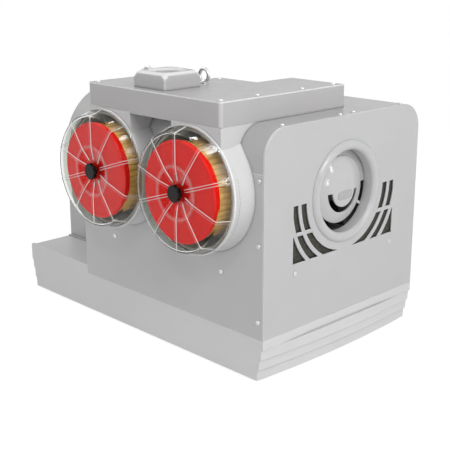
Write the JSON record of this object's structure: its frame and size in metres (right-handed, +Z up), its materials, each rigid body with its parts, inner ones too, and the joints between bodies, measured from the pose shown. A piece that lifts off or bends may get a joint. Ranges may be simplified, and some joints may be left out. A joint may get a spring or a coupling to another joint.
{
  "type": "claw vacuum pump",
  "caption": "Dry claw vacuum pump under a light grey acoustic hood, with inlet filters behind clear ribbed covers, a top suction flange and a fan grille.",
  "frame": {"origin": "on the floor under the middle of the machine", "axes": "+X to the fan end, +Y from the filters to the back, +Z up"},
  "size_m": [0.859, 0.611, 0.628],
  "materials": {
    "panel_paint": "semi-gloss",
    "base_paint": "semi-gloss",
    "casting_paint": "semi-gloss light grey paint",
    "grille_plastic": "gloss",
    "rubber": "matt",
    "bright_steel": "zinc plated",
    "shaft_steel": "ground",
    "cast_iron": "machined casting",
    "cast_aluminium": "as cast",
    "sheet_steel": "matt",
    "fan_plastic": "matt",
    "sight_glass": "clear",
    "clear_cover": "clear, polished",
    "knob_plastic": "satin",
    "red_cap": "gloss",
    "dark_cap": "matt",
    "filter_paper": "pleated"
  },
  "bodies": {
    "chassis": {"end_panel": "panel_paint", "front_panel": "panel_paint", "hood_front": "panel_paint", "hood_rear": "panel_paint", "rear_panel": "panel_paint", "left_hood": "panel_paint", "base_tray": "base_paint", "manifold_cover": "casting_paint", "inlet_block": "casting_paint", "filter_drum_right": "casting_paint", "filter_drum_left": "casting_paint", "fan_grille": "grille_plastic", "rubber_feet": "rubber", "cover_gasket_right": "rubber", "cover_gasket_left": "rubber", "panel_screws": "bright_steel", "manifold_screws": "bright_steel", "lifting_eye_right": "bright_steel", "lifting_eye_left": "bright_steel", "filter_stud_right": "bright_steel", "filter_stud_left": "bright_steel", "shaft_bearings": "shaft_steel", "motor_stator": "shaft_steel", "pump_cylinder": "cast_iron", "drive_end_plate": "cast_iron", "gear_end_plate": "cast_iron", "pump_pedestal": "cast_iron", "motor_housing": "cast_aluminium", "motor_end_shields": "cast_aluminium", "gearbox_cover": "cast_aluminium", "exhaust_flange": "cast_aluminium", "terminal_box": "cast_aluminium", "fan_shroud": "sheet_steel", "exhaust_silencer": "sheet_steel", "silencer_saddles": "sheet_steel", "suction_duct": "sheet_steel", "exhaust_pipe": "sheet_steel", "oil_sight_glass": "sight_glass"},
    "drive_train": {"motor_rotor": "shaft_steel", "cooling_fan": "fan_plastic", "coupling_hub_motor": "cast_iron", "coupling_spider": "rubber", "coupling_hub_pump": "cast_iron", "pump_shaft_drive": "shaft_steel", "claw_rotor_drive": "cast_iron", "timing_gear_drive": "shaft_steel"},
    "driven_train": {"pump_shaft_driven": "shaft_steel", "claw_rotor_driven": "cast_iron", "timing_gear_driven": "shaft_steel"},
    "cover_right": {"filter_cover_right": "clear_cover"},
    "knob_right": {"cover_knob_right": "knob_plastic"},
    "cartridge_right": {"cartridge_front_cap_right": "red_cap", "cartridge_pleats_right": "filter_paper", "cartridge_rear_cap_right": "dark_cap"},
    "cover_left": {"filter_cover_left": "clear_cover"},
    "knob_left": {"cover_knob_left": "knob_plastic"},
    "cartridge_left": {"cartridge_front_cap_left": "red_cap", "cartridge_pleats_left": "filter_paper", "cartridge_rear_cap_left": "dark_cap"}
  },
  "joints": [
    {"name": "drive_spin", "type": "hinge", "parent": "chassis", "child": "drive_train", "pos_m": [0, 0.0475, 0.375], "axis": [1, 0, 0], "continuous": true},
    {"name": "driven_spin", "type": "hinge", "parent": "chassis", "child": "driven_train", "pos_m": [0, 0.0475, 0.265], "axis": [1, 0, 0], "continuous": true},
    {"name": "cover_slide_right", "type": "slide", "parent": "chassis", "child": "cover_right", "axis": [0, -1, 0], "range_m": [0, 0.36]},
    {"name": "cartridge_slide_right", "type": "slide", "parent": "chassis", "child": "cartridge_right", "axis": [0, -1, 0], "range_m": [0, 0.18]},
    {"name": "knob_turn_right", "type": "hinge", "parent": "cover_right", "child": "knob_right", "pos_m": [0.2585, -0.299, 0.402], "axis": [0, -1, 0], "continuous": true},
    {"name": "cover_slide_left", "type": "slide", "parent": "chassis", "child": "cover_left", "axis": [0, -1, 0], "range_m": [0, 0.36]},
    {"name": "cartridge_slide_left", "type": "slide", "parent": "chassis", "child": "cartridge_left", "axis": [0, -1, 0], "range_m": [0, 0.18]},
    {"name": "knob_turn_left", "type": "hinge", "parent": "cover_left", "child": "knob_left", "pos_m": [-0.022, -0.299, 0.402], "axis": [0, -1, 0], "continuous": true}
  ],
  "couplings": [
    {"joint": "driven_spin", "follows": "drive_spin", "ratio": -1},
    {"joint": "cartridge_slide_right", "follows": "cover_slide_right", "ratio": 0.5},
    {"joint": "cartridge_slide_left", "follows": "cover_slide_left", "ratio": 0.5}
  ]
}
